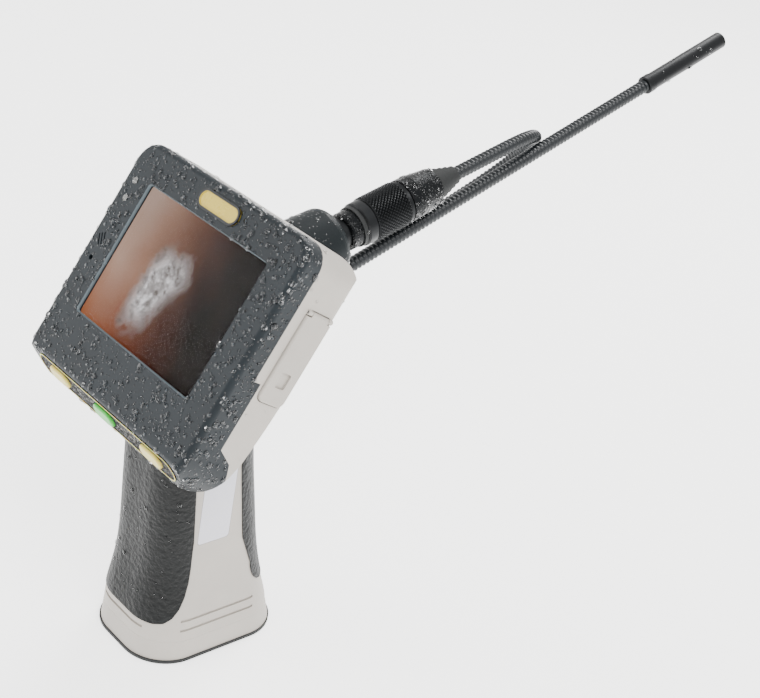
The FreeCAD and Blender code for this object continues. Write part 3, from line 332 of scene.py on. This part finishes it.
def make_materials():
    c = bpy.context.scene.camera_colours
    made = {
        # Moulded ABS under a film of fine water beads: mid grey-blue, sparkling where the light falls,
        # with a painted dark ring and a painted highlight in each bead
        "slate": beaded("moulded_abs_wet", tuple(c.slate), 0.42, 0.0034, cover=0.3, lift=0.0005),
        # Fine-grained moulded ABS, warm light grey, even and dull
        "shell": surface("moulded_abs_grained", tuple(c.shell), 0.46, 0.00035, 0.00003, mottle=0.07),
        # Overmoulded rubber with a pebbled mould: near black, with small glints where it is wet
        "grip": surface("overmoulded_rubber", tuple(c.grip), 0.42, 0.0019, 0.0016, mottle=0.4,
                        gleam=0.2),
        # Smooth moulded nylon: dark grey and satin
        "boss": beaded("moulded_nylon_wet", tuple(c.boss), 0.42, 0.004, cover=0.25, gleam=0.14),
        # Black anodised aluminium: dark, with broad soft glints
        "metal": beaded("anodised_aluminium_wet", tuple(c.metal), 0.3, 0.0018, cover=0.4, metallic=0.5),
        "dry_metal": surface("anodised_aluminium", tuple(c.metal), 0.32, 0.0002, 0.000015, metallic=0.5),
        # Extruded vinyl jacket, wrung round its core: black with a dull shine on each rib
        "jacket": surface("extruded_vinyl", tuple(c.jacket), 0.36, 0.0004, 0.00002, mottle=0.22),
        # Moulded rubber: dull black that hardly catches the light
        "pad": surface("moulded_rubber", linear("#141616"), 0.6, 0.0005, 0.00004),
        # Moulded elastomer: a touch darker and duller than the shell, so the port cover reads as soft
        "soft_shell": surface("moulded_elastomer", scaled(tuple(c.shell), 0.95), 0.52, 0.0004, 0.00004,
                              mottle=0.07),
        # Moulded polycarbonate: plain satin black inside sockets and rims
        "plastic": surface("moulded_polycarbonate", linear("#121415"), 0.4, 0.0004, 0.00002),
        # Keypad trim: matt black, so that the buttons and the line round them stand out
        "keypad": beaded("moulded_keypad_wet", linear("#0A0C0C"), 0.6, 0.0016, gleam=0.03),
        # Plated steel: bright and softly streaked
        "steel": surface("plated_steel", linear("#B9BBBC"), 0.28, 0.0003, 0.00001, metallic=1.0),
        # Gold-plated brass: warm glints on the contacts
        "gold": surface("gold_plated_brass", linear("#C9A24A"), 0.25, 0.0003, 0.00001, metallic=1.0),
        # Solder mask over glass fibre: deep green and glossy
        "board": surface("solder_mask", linear("#16502C"), 0.35, 0.0008, 0.00002),
        # Printed film round the cells: glossy charcoal
        "sleeve": surface("printed_film", linear("#23252B"), 0.25, 0.0006, 0.00001),
        # Blank polyester label: cool white with a low sheen
        "label": surface("polyester_film", linear("#C2C1C8"), 0.3, 0.0008, 0.00001, mottle=0.05),
        # Enamel over metal: rich yellow and glossy
        "badge": surface("enamelled_badge", tuple(c.badge), 0.25, 0.0007, 0.00002, mottle=0.12),
        # Silicone buttons: soft colour with a faint painted glow, though they hold no lamp
        "green": translucent_key("silicone_green", tuple(c.green_key)),
        "pale": translucent_key("silicone_pale", tuple(c.pale_key)),
        # Clear epoxy: lamps with a slightly frosted look
        "lamp": clear("clear_epoxy", 1.5, linear("#F3F4EC"), 0.05),
        # Anti-reflection coated glass: nearly unseen, so that the picture stays dark and clear
        "window": clear("coated_glass", 1.06, linear("#FFFFFF")),
        # Water: round drops with bright edges
        "water": clear("water", 1.33, linear("#FFFFFF")),
        # Edge of the screen's opening: a little lighter and smoother than the face, the lighter colour a
        # painted highlight along the edge
        "rim": surface("satin_edge_painted_highlight", linear("#4C565B"), 0.35, 0.0006, 0.00001),
        "picture": screen_picture(),
    }
    return made


# ---------------------------------------------------------------- mesh helpers
def finish_piece(name, mesh_tool, material, body, nodes=(), smooth=True, blend=None):
    """Makes the object and gives it its finish; hangs it on its body, or, when blend is given, bakes its
    place into the mesh and leaves it unparented.
    """
    bmesh.ops.remove_doubles(mesh_tool, verts=mesh_tool.verts, dist=1e-7)
    bmesh.ops.recalc_face_normals(mesh_tool, faces=mesh_tool.faces)
    mesh = bpy.data.meshes.new(name)
    mesh_tool.to_mesh(mesh)
    mesh_tool.free()
    mesh.materials.append(material)
    for face in mesh.polygons:
        face.use_smooth = smooth
    piece = bpy.data.objects.new(name, mesh)
    bpy.context.scene.collection.objects.link(piece)
    if nodes:
        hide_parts(*nodes)
    if blend:
        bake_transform(piece)
    else:
        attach(piece, body)
    return piece


def edges_between(verts):
    chosen = set(verts)
    return [e for v in verts for e in v.link_edges if all(w in chosen for w in e.verts)]


def swept(bm, places, segments):
    """A tube of rings, one at each matrix, extruded from each to the next. Gives back the rings."""
    first = bmesh.ops.create_circle(bm, segments=segments, radius=1.0, matrix=places[0])["verts"]
    rings = [first]
    for before, after in zip(places, places[1:]):
        edges = list(set(edges_between(rings[-1])))
        made = bmesh.ops.extrude_edge_only(bm, edges=edges)["geom"]
        verts = [g for g in made if isinstance(g, bmesh.types.BMVert)]
        bmesh.ops.transform(bm, matrix=after @ before.inverted(), verts=verts)
        rings.append(verts)
    return rings


def stadium_ring(name, outline, width, low, high, inner, place, material):
    """A ring with round corners. Its top falls from high at the outline to inner at its inner edge."""
    half_x, half_y, corner = outline
    bm = bmesh.new()
    ring = bmesh.ops.create_circle(bm, segments=64, radius=corner)["verts"]
    for v in ring:
        v.co += round_centre(v.co, half_x - corner, half_y - corner)
        v.co.z = low
    share = 1 - width / corner
    for height, factor in ((high, 1.0), (inner, share), (low, 1.0), (low, 1 / share)):
        made = bmesh.ops.extrude_edge_only(bm, edges=list(set(edges_between(ring))))["geom"]
        ring = [g for g in made if isinstance(g, bmesh.types.BMVert)]
        for v in ring:
            centre = round_centre(v.co, half_x - corner, half_y - corner)
            v.co = centre + (v.co - centre) * factor
            v.co.z = height
    bmesh.ops.transform(bm, matrix=place, verts=bm.verts)
    return finish_piece(name, bm, MATERIALS[material], "root", smooth=False)


def round_centre(point, half_x, half_y):
    """The centre of the round corner that a point of an outline belongs to."""
    return Vector((math.copysign(half_x, point.x), math.copysign(half_y, point.y), 0))


def assign(nodes, material):
    """Gives CAD nodes a finish."""
    for name in nodes:
        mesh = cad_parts[name].data
        mesh.materials.clear()
        mesh.materials.append(material)


# ---------------------------------------------------------------- gooseneck
def along(points, spacing):
    """Evenly spaced matrices along a line of points, with z forward and as little twist as can be."""
    lengths = [0.0]
    for a, b in zip(points, points[1:]):
        lengths.append(lengths[-1] + (b - a).length)
    count = max(2, round(lengths[-1] / spacing))
    places, at, turn = [], 0, None
    for i in range(count + 1):
        goal = lengths[-1] * i / count
        while at < len(points) - 2 and lengths[at + 1] < goal:
            at += 1
        share = (goal - lengths[at]) / (lengths[at + 1] - lengths[at])
        here = points[at].lerp(points[at + 1], share)
        ahead = points[min(at + 2, len(points) - 1)] - points[at + 1]
        ahead = (points[at + 1] - points[at]).lerp(ahead, share if at + 2 < len(points) else 0.0)
        ahead.normalize()
        if turn is None:
            turn = Vector((0, 0, 1)).rotation_difference(ahead)
        else:
            turn = (turn @ Vector((0, 0, 1))).rotation_difference(ahead) @ turn
        places.append((goal, Matrix.Translation(here) @ turn.to_matrix().to_4x4()))
    return places


def loop_line():
    """Points along the loop's own smooth spline, from the nose to the last leg."""
    first = NOSE @ Vector((0, 0, FIRST_CORNER))
    route = [NOSE @ Vector((0, 0, ROOT_END)), first, first + LOOP_RETURN,
             RUN_ORIGIN + LOOP_FOOT, RUN_ORIGIN, RUN @ Vector((0, 0, LOOP_LAST)),
             RUN @ Vector((0, 0, BEND_START))]
    curve = bpy.data.curves.new("loop_line", "CURVE")
    curve.dimensions = "3D"
    spline = curve.splines.new("NURBS")
    spline.points.add(len(route) - 1)
    for point, place in zip(spline.points, route):
        point.co = (*place, 1)
    spline.order_u = 3
    spline.use_endpoint_u = True
    spline.resolution_u = 40
    holder = bpy.data.objects.new("loop_line", curve)
    mesh = bpy.data.meshes.new_from_object(holder)
    points = [v.co.copy() for v in mesh.vertices]
    bpy.data.objects.remove(holder)
    return points


def ribbed(name, points, start, material, body=None, blend=None):
    """A length of jacket with a spiral rib. Start is how far along the whole probe it begins."""
    s = bpy.context.scene.camera_sizes
    turns_per_ring = 5
    bm = bmesh.new()
    places = along(points, s.rib_pitch / turns_per_ring)
    size_matrix = Matrix.Diagonal((s.jacket_radius, s.jacket_radius, s.jacket_radius, 1))
    rings = swept(bm, [p @ size_matrix for _, p in places], 20)
    for (station, place), ring in zip(places, rings):
        back = place.inverted()
        for v in ring:
            local = back @ v.co
            angle = math.atan2(local.y, local.x)
            wave = 0.5 + 0.5 * math.cos(2 * math.pi * (station + start) / s.rib_pitch - angle)
            v.co = place @ (local * (1 - s.rib_depth / s.jacket_radius * (1 - wave) ** 1.6))
    for ring in (rings[0], rings[-1]):
        bmesh.ops.contextual_create(bm, geom=list(set(edges_between(ring))))
    return finish_piece(name, bm, material, body, [name.replace("ribbed", "gooseneck")],
                        blend=blend)


# ---------------------------------------------------------------- operators
class StepOperator(bpy.types.Operator):
    """Shared by the operators that make the pieces."""
    bl_options = {"REGISTER", "UNDO"}


class INSPECT_OT_housing(StepOperator):
    """Finish the screen unit, the boards and the handle"""
    bl_idname = "inspect.housing"
    bl_label = "Housing and handle"

    def execute(self, context):
        m = MATERIALS
        assign(["front_housing"], m["slate"])
        assign(["rear_housing", "handle_left", "handle_right", "battery_door"], m["shell"])
        assign(["port_cover"], m["soft_shell"])
        assign(["palm_grip", "finger_grip"], m["grip"])
        assign(["base_pad", "seal_ring", "strain_relief"], m["pad"])
        assign(["nose_boss"], m["boss"])
        assign(["locking_collar", "plug_shell"], m["metal"])
        assign(["socket_barrel", "camera_head"], m["dry_metal"])
        assign(["side_label"], m["label"])
        assign(["badge"], m["badge"])
        assign(["button_left", "button_right"], m["pale"])
        assign(["button_centre"], m["green"])
        assign(["keypad_trim"], m["keypad"])
        assign(["screen_window", "lens_window"], m["window"])
        assign(["picture_panel"], m["picture"])
        assign(["status_lamps", "tip_lamps"], m["lamp"])
        assign(["main_board", "keypad_board"], m["board"])
        assign(["battery_cells"], m["sleeve"])
        assign(["socket_pins"], m["gold"])
        assign(["keypad_switches", "card_socket", "usb_socket", "cover_pin", "unit_screws", "barrel_nut",
                "handle_screws", "door_contacts", "upper_contacts"], m["steel"])
        assign(["panel_frame", "board_chips", "video_jack", "socket_insert", "plug_insert",
                "camera_module", "contact_carrier"], m["plastic"])
        return {"FINISHED"}


class INSPECT_OT_rims(StepOperator):
    """Make the line round the keypad and the edge of the screen's opening"""
    bl_idname = "inspect.rims"
    bl_label = "Rims"

    def execute(self, context):
        s = context.scene.camera_sizes
        up = (FACET_UPPER - FACET_LOWER).normalized()
        out = Vector((1, 0, 0)).cross(up)
        middle = (FACET_UPPER + FACET_LOWER) / 2
        facet = Matrix.Translation(middle) @ Matrix((Vector((1, 0, 0)), up, out)).transposed().to_4x4()
        # The line round the keypad shares the buttons' pale finish and its painted glow
        stadium_ring("keypad_rim", KEYPAD_OUTLINE, s.key_rim_width, 0.00022, 0.00038,
                     0.00038, UNIT @ facet, "pale")
        # The opening's edge is lighter than the face as a painted highlight
        stadium_ring("window_rim", WINDOW_OUTLINE, 0.0004, FACE_HEIGHT - 0.0012,
                     FACE_HEIGHT + 0.00002, FACE_HEIGHT - 0.0006, UNIT, "rim")
        badge = UNIT @ Matrix.Translation(BADGE_CENTRE)
        stadium_ring("badge_rim", BADGE_OUTLINE, 0.00085, FACE_HEIGHT + 0.0001,
                     FACE_HEIGHT + 0.00084, FACE_HEIGHT + 0.00084, badge, "plastic")
        return {"FINISHED"}


class INSPECT_OT_nut(StepOperator):
    """Make the knurled coupling nut"""
    bl_idname = "inspect.nut"
    bl_label = "Coupling nut"

    def execute(self, context):
        s = context.scene.camera_sizes
        rows = [(0.0083, NUT_START), (NUT_BAND, NUT_START + 0.0006), (NUT_BAND, NUT_START + 0.0042),
                (NUT_BAND - 0.0004, NUT_START + 0.0044), (NUT_BAND - 0.0004, NUT_START + 0.0047)]
        knurl_start, knurl_end = NUT_START + 0.0049, NUT_END - 0.0018
        steps = 4 * round((knurl_end - knurl_start) / s.knurl_pitch)
        knurl = [(s.knurl_radius, knurl_start + (knurl_end - knurl_start) * i / steps)
                 for i in range(steps + 1)]
        tail = [(NUT_BAND - 0.0002, NUT_END - 0.0016), (NUT_BAND, NUT_END - 0.0004),
                (NUT_BAND - 0.0004, NUT_END),
                (NUT_NECK_BORE, NUT_END), (NUT_NECK_BORE, NUT_THREAD_END), (NUT_BORE, NUT_THREAD_END),
                (NUT_BORE, NUT_START)]
        around = 4 * round(2 * math.pi * s.knurl_radius / s.knurl_pitch)
        places = [NOSE @ Matrix.Translation((0, 0, z)) @ Matrix.Diagonal((r, r, r, 1))
                  for r, z in rows + knurl + tail]
        bm = bmesh.new()
        rings = swept(bm, places, around)
        turns = around / 4
        back = NOSE.inverted()
        for i, ring in enumerate(rings[len(rows):len(rows) + len(knurl)]):
            for v in ring:
                local = back @ v.co
                u = math.atan2(local.y, local.x) / (2 * math.pi) * turns
                grooves = [abs((u + sign * i / 4) % 1.0 - 0.5) * 2 for sign in (1, -1)]
                cut = s.knurl_depth * (1 - min(1.0, 1.6 * min(grooves)))
                if i in (0, len(knurl) - 1):
                    cut = s.knurl_depth
                shrink = 1 - cut / s.knurl_radius
                v.co = NOSE @ Vector((local.x * shrink, local.y * shrink, local.z))
        ends = list(set(edges_between(rings[0]))) + list(set(edges_between(rings[-1])))
        bmesh.ops.bridge_loops(bm, edges=ends)
        finish_piece("knurled_nut", bm, MATERIALS["dry_metal"], "coupling_nut",
                     ["coupling_nut"], smooth=False)
        return {"FINISHED"}


class INSPECT_OT_gooseneck(StepOperator):
    """Make the ribbed gooseneck in its five lengths"""
    bl_idname = "inspect.gooseneck"
    bl_label = "Gooseneck"

    def execute(self, context):
        jacket = MATERIALS["jacket"]
        nose = [NOSE @ Vector((0, 0, z)) for z in (PLUG_END - JACKET_INSIDE_PLUG, RELIEF_END, ROOT_END)]
        run = {z: RUN @ Vector((0, 0, z)) for z in (BEND_START, BEND_END, TIP_START, HEAD_START)}
        ribbed("ribbed_root", nose, 0.0, jacket, blend=("probe", "probe_loop", nose[1], nose[2]))
        ribbed("ribbed_loop", loop_line(), 0.042, jacket, "probe_loop")
        ribbed("ribbed_bend", [run[BEND_START], run[BEND_END]], 0.35, jacket,
               blend=("probe_loop", "probe_run", run[BEND_START], run[BEND_END]))
        ribbed("ribbed_run", [run[BEND_END], run[TIP_START]], 0.41, jacket, "probe_run")
        ribbed("ribbed_tip", [run[TIP_START], run[HEAD_START]], 0.445, jacket,
               blend=("probe_run", "camera_end", run[TIP_START], run[HEAD_START]))
        return {"FINISHED"}


# What could stand over a drop
OUTSIDE = ("front_housing", "rear_housing", "nose_boss", "locking_collar", "coupling_nut", "plug_shell",
           "screen_window", "keypad_trim", "badge", "handle_left", "handle_right", "palm_grip")


class INSPECT_OT_water(StepOperator):
    """Scatter drops of water over the unit and the coupling"""
    bl_idname = "inspect.water"
    bl_label = "Water"

    def execute(self, context):
        dice = random.Random(context.scene.camera_sizes.drop_seed)
        trees = [BVHTree.FromPolygons([v.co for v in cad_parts[n].data.vertices],
                                      [p.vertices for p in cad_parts[n].data.polygons])
                 for n in OUTSIDE]
        wet("water_on_unit", {"front_housing": 1300, "nose_boss": 60, "locking_collar": 14,
                              "seal_ring": 6, "palm_grip": 60, "rear_housing": 50}, "root", trees, dice)
        wet("water_on_plug", {"plug_shell": 70}, "probe", trees, dice)
        wet("water_on_head", {"camera_head": 36}, "camera_end", trees, dice)
        return {"FINISHED"}


def wet(name, counts, body, trees, dice):
    """Drops on the outer faces of CAD nodes, each a low dome of a few faces."""
    s = bpy.context.scene.camera_sizes
    bm, pattern = bmesh.new(), dome()
    for node_name, count in counts.items():
        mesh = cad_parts[node_name].data
        mesh.calc_loop_triangles()
        corners = [[mesh.vertices[i].co for i in t.vertices] for t in mesh.loop_triangles]
        areas = [t.area for t in mesh.loop_triangles]
        placed = 0
        while placed < count:
            a, b, c = dice.choices(corners, areas)[0]
            u, v = sorted((dice.random(), dice.random()))
            place = a * u + b * (v - u) + c * (1 - v)
            out = (b - a).cross(c - a).normalized()
            radius = s.smallest_drop + (s.largest_drop - s.smallest_drop) * dice.random() ** 2.8
            if any(t.ray_cast(place + out * 1e-5, out, 0.15)[0] for t in trees):
                continue
            turn = Vector((0, 0, 1)).rotation_difference(out).to_matrix().to_4x4()
            stretch = Matrix.Diagonal((radius, radius * dice.uniform(0.9, 1.15),
                                       radius * dice.uniform(0.38, 0.52), 1))
            drop = pattern.copy()
            drop.transform(Matrix.Translation(place - out * 0.03 * radius) @ turn @ stretch)
            bm.from_mesh(drop)
            bpy.data.meshes.remove(drop)
            placed += 1
    finish_piece(name, bm, MATERIALS["water"], body)


def dome():
    """A closed half ball of radius one, flat below."""
    bm = bmesh.new()
    made = bmesh.ops.create_uvsphere(bm, u_segments=9, v_segments=6, radius=1.0)["verts"]
    bmesh.ops.delete(bm, geom=[v for v in made if v.co.z < -0.01], context="VERTS")
    rim = [v for v in bm.verts if v.co.z < 0.01]
    bmesh.ops.contextual_create(bm, geom=list(set(edges_between(rim))))
    mesh = bpy.data.meshes.new("drop")
    bm.to_mesh(mesh)
    bm.free()
    return mesh


class INSPECT_OT_stage(StepOperator):
    """Set the floor, the lights and the camera"""
    bl_idname = "inspect.stage"
    bl_label = "Stage"

    def execute(self, context):
        scene = context.scene
        bm = bmesh.new()
        bmesh.ops.create_grid(bm, x_segments=1, y_segments=1, size=6.0)
        mesh = bpy.data.meshes.new("floor")
        bm.to_mesh(mesh)
        bm.free()
        floor = bpy.data.objects.new("floor", mesh)
        scene.collection.objects.link(floor)
        table = surface("opal_acrylic_table", tuple(scene.camera_colours.floor), 0.7, 0.002, 0.00001,
                        mottle=0.01)
        shader = table.node_tree.nodes["Principled BSDF"]
        shader.inputs["Emission Color"].default_value = (1, 1, 1, 1)
        shader.inputs["Emission Strength"].default_value = 1.6
        mesh.materials.append(table)
        world = bpy.data.worlds.new("studio")
        world.use_nodes = True
        world.node_tree.nodes["Background"].inputs["Color"].default_value = (1, 1, 1, 1)
        world.node_tree.nodes["Background"].inputs["Strength"].default_value = WORLD_STRENGTH
        scene.world = world
        for name, place, goal, width, power in LIGHTS:
            light = bpy.data.lights.new(name, "AREA")
            light.size = width
            light.energy = power
            lamp = bpy.data.objects.new(name, light)
            lamp.location = place
            lamp.rotation_euler = (Vector(goal) - Vector(place)).to_track_quat("-Z", "Y").to_euler()
            scene.collection.objects.link(lamp)
        lens = bpy.data.cameras.new("camera")
        lens.lens, lens.sensor_width, lens.clip_start = EYE_LENS, 36.0, 0.01
        eye = bpy.data.objects.new("camera", lens)
        eye.matrix_world = Matrix.Translation(EYE_PLACE) @ Matrix(EYE_AXES).transposed().to_4x4()
        scene.collection.objects.link(eye)
        scene.camera = eye
        return {"FINISHED"}


class INSPECT_PT_panel(bpy.types.Panel):
    """Lists the steps, the sizes and the colours"""
    bl_idname = "INSPECT_PT_panel"
    bl_label = "Inspection camera"
    bl_space_type = "VIEW_3D"
    bl_region_type = "UI"
    bl_category = "Camera"

    def draw(self, context):
        for step in STEPS:
            self.layout.operator(step.bl_idname)
        for group in (context.scene.camera_sizes, context.scene.camera_colours):
            for key in group.__annotations__:
                self.layout.prop(group, key)


STEPS = (INSPECT_OT_housing, INSPECT_OT_rims, INSPECT_OT_nut, INSPECT_OT_gooseneck, INSPECT_OT_water,
         INSPECT_OT_stage)
CLASSES = (CameraSizes, CameraColours, *STEPS, INSPECT_PT_panel)
MATERIALS = {}


def register():
    for cls in CLASSES:
        bpy.utils.register_class(cls)
    bpy.types.Scene.camera_sizes = PointerProperty(type=CameraSizes)
    bpy.types.Scene.camera_colours = PointerProperty(type=CameraColours)


def unregister():
    del bpy.types.Scene.camera_sizes
    del bpy.types.Scene.camera_colours
    for cls in reversed(CLASSES):
        bpy.utils.unregister_class(cls)


def main():
    register()
    MATERIALS.update(make_materials())
    bpy.ops.inspect.housing()
    bpy.ops.inspect.rims()
    bpy.ops.inspect.nut()
    bpy.ops.inspect.gooseneck()
    bpy.ops.inspect.water()
    bpy.ops.inspect.stage()


if __name__ == "__main__":
    main()
